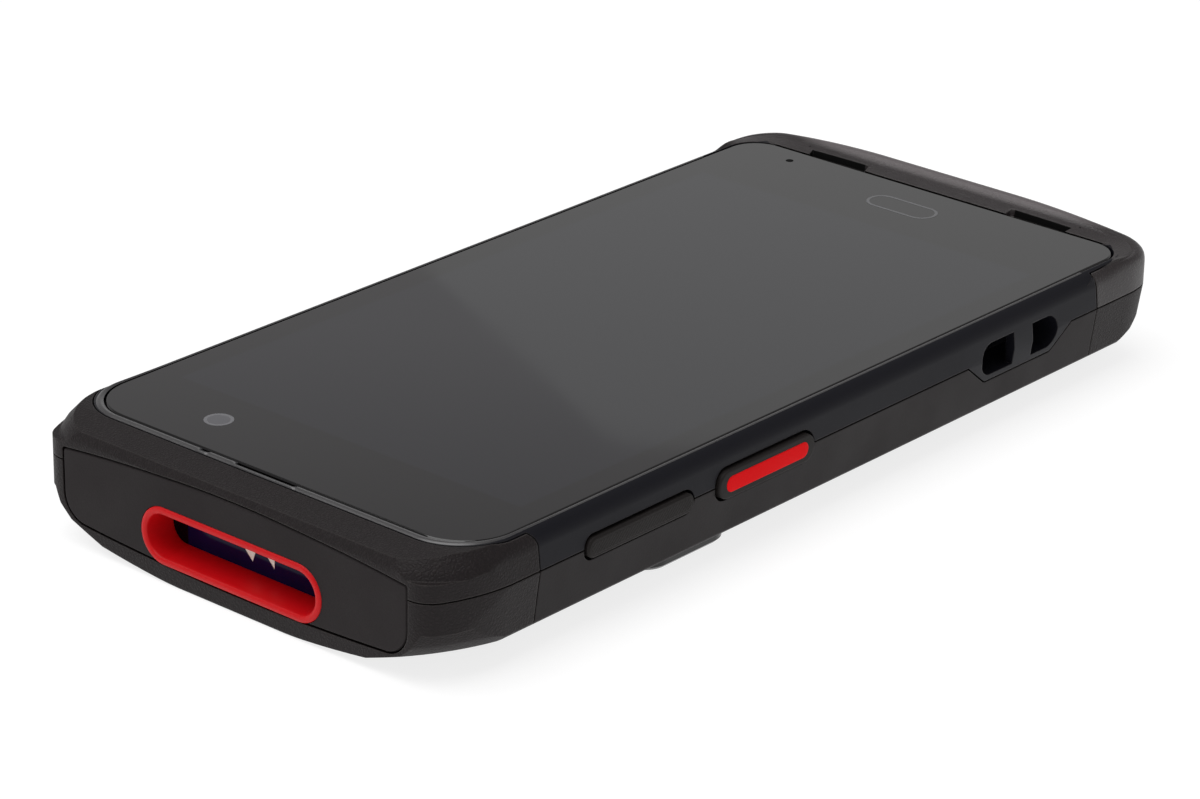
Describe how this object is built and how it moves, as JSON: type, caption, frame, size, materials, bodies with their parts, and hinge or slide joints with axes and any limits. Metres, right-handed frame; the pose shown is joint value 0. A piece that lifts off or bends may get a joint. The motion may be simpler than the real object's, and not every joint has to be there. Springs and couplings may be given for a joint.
{
  "type": "portable barcode data terminal",
  "caption": "Slim handheld data terminal with a touch screen, a scan window in its end, side keys, a strap bar and a removable battery under a rear door.",
  "frame": {"origin": "on the flat strip that the terminal rests on, under the middle of the housing", "axes": "+Z out of the screen, +Y towards the scan window end, +X to the right of a person who reads the screen"},
  "size_m": [0.077, 0.1551, 0.0191],
  "materials": {
    "battery_wrap": "aluminium cell in a black wrap",
    "board_green": "solder mask",
    "chassis_metal": "die-cast light alloy",
    "chip_black": "moulded chip package",
    "contact_gold": "gold-plated contact",
    "cover_glass": "polished black-bordered cover glass",
    "display_black": "switched-off display panel",
    "engine_black": "black engine housing",
    "flash_white": "flash diffuser",
    "flex_amber": "polyimide circuit",
    "frame_plastic": "bluish-black moulded polycarbonate with a satin sheen",
    "guard_plastic": "black textured bumper plastic",
    "housing_plastic": "black moulded polycarbonate, fine spark-eroded texture",
    "key_rubber": "black rubberised key",
    "lens_black": "gloss black plate",
    "lens_glass": "camera lens cover",
    "mesh_black": "woven acoustic mesh",
    "module_black": "moulded module",
    "optics": "lens and lamp covers",
    "panel_plastic": "black matt panel, fine texture",
    "port_steel": "stainless port shell",
    "red_plastic": "red moulded plastic, satin",
    "screw_steel": "blackened steel screw",
    "seal_rubber": "silicone gasket",
    "shield_steel": "tinned sheet",
    "spring_steel": "stainless strip",
    "tape_black": "black bonding tape",
    "window_glass": "coated optical window"
  },
  "bodies": {
    "housing": {"base_board": "board_green", "base_end_guard": "guard_plastic", "battery_contacts": "module_black", "battery_door": "housing_plastic", "battery_pack": "battery_wrap", "board_chips": "chip_black", "board_shields": "shield_steel", "camera_plate": "lens_black", "charging_contacts": "contact_gold", "cover_glass": "cover_glass", "display_module": "display_black", "earpiece": "module_black", "earpiece_mesh": "mesh_black", "end_panel": "panel_plastic", "engine_bracket": "spring_steel", "flash_lens": "flash_white", "front_camera": "module_black", "front_frame": "frame_plastic", "glass_tape": "tape_black", "housing_screws": "screw_steel", "housing_seal": "seal_rubber", "key_switches": "spring_steel", "left_key_bracket": "spring_steel", "left_key_flex": "flex_amber", "main_board": "board_green", "mid_chassis": "chassis_metal", "rear_base_guard": "guard_plastic", "rear_camera_lens": "lens_glass", "rear_camera_module": "module_black", "rear_housing": "housing_plastic", "rear_scan_guard": "guard_plastic", "right_key_bracket": "spring_steel", "right_key_flex": "flex_amber", "scan_end_guard": "guard_plastic", "scan_engine": "engine_black", "scan_engine_optics": "optics", "scan_window": "window_glass", "speaker_mesh": "mesh_black", "speakers": "module_black", "usb_port": "port_steel", "vibration_motor": "port_steel", "window_ring": "red_plastic"},
    "volume_rocker": {"volume_rocker": "key_rubber"},
    "left_scan_key": {"left_scan_key": "key_rubber", "left_key_stripe": "red_plastic"},
    "right_scan_key": {"right_scan_key": "key_rubber", "right_key_stripe": "red_plastic"},
    "power_key": {"power_key": "key_rubber"},
    "door_latch": {"door_latch": "housing_plastic"}
  },
  "joints": [
    {"name": "volume_tilt", "type": "hinge", "parent": "housing", "child": "volume_rocker", "pos_m": [-0.0365, 0.04055, 0.0119], "axis": [0, 0, 1], "range_deg": [-1.5, 1.5], "stiffness_Nm_per_rad": 0.4},
    {"name": "left_scan_press", "type": "slide", "parent": "housing", "child": "left_scan_key", "axis": [1, 0, 0], "range_m": [0, 0.00035], "stiffness_N_per_m": 2000, "springref_m": -0.0003},
    {"name": "right_scan_press", "type": "slide", "parent": "housing", "child": "right_scan_key", "axis": [-1, 0, 0], "range_m": [0, 0.00035], "stiffness_N_per_m": 2000, "springref_m": -0.0003},
    {"name": "power_press", "type": "slide", "parent": "housing", "child": "power_key", "axis": [-1, 0, 0], "range_m": [0, 0.00035], "stiffness_N_per_m": 2000, "springref_m": -0.0003},
    {"name": "latch_slide", "type": "slide", "parent": "housing", "child": "door_latch", "axis": [0, 1, 0], "range_m": [0, 0.002], "stiffness_N_per_m": 400, "springref_m": -0.001}
  ]
}
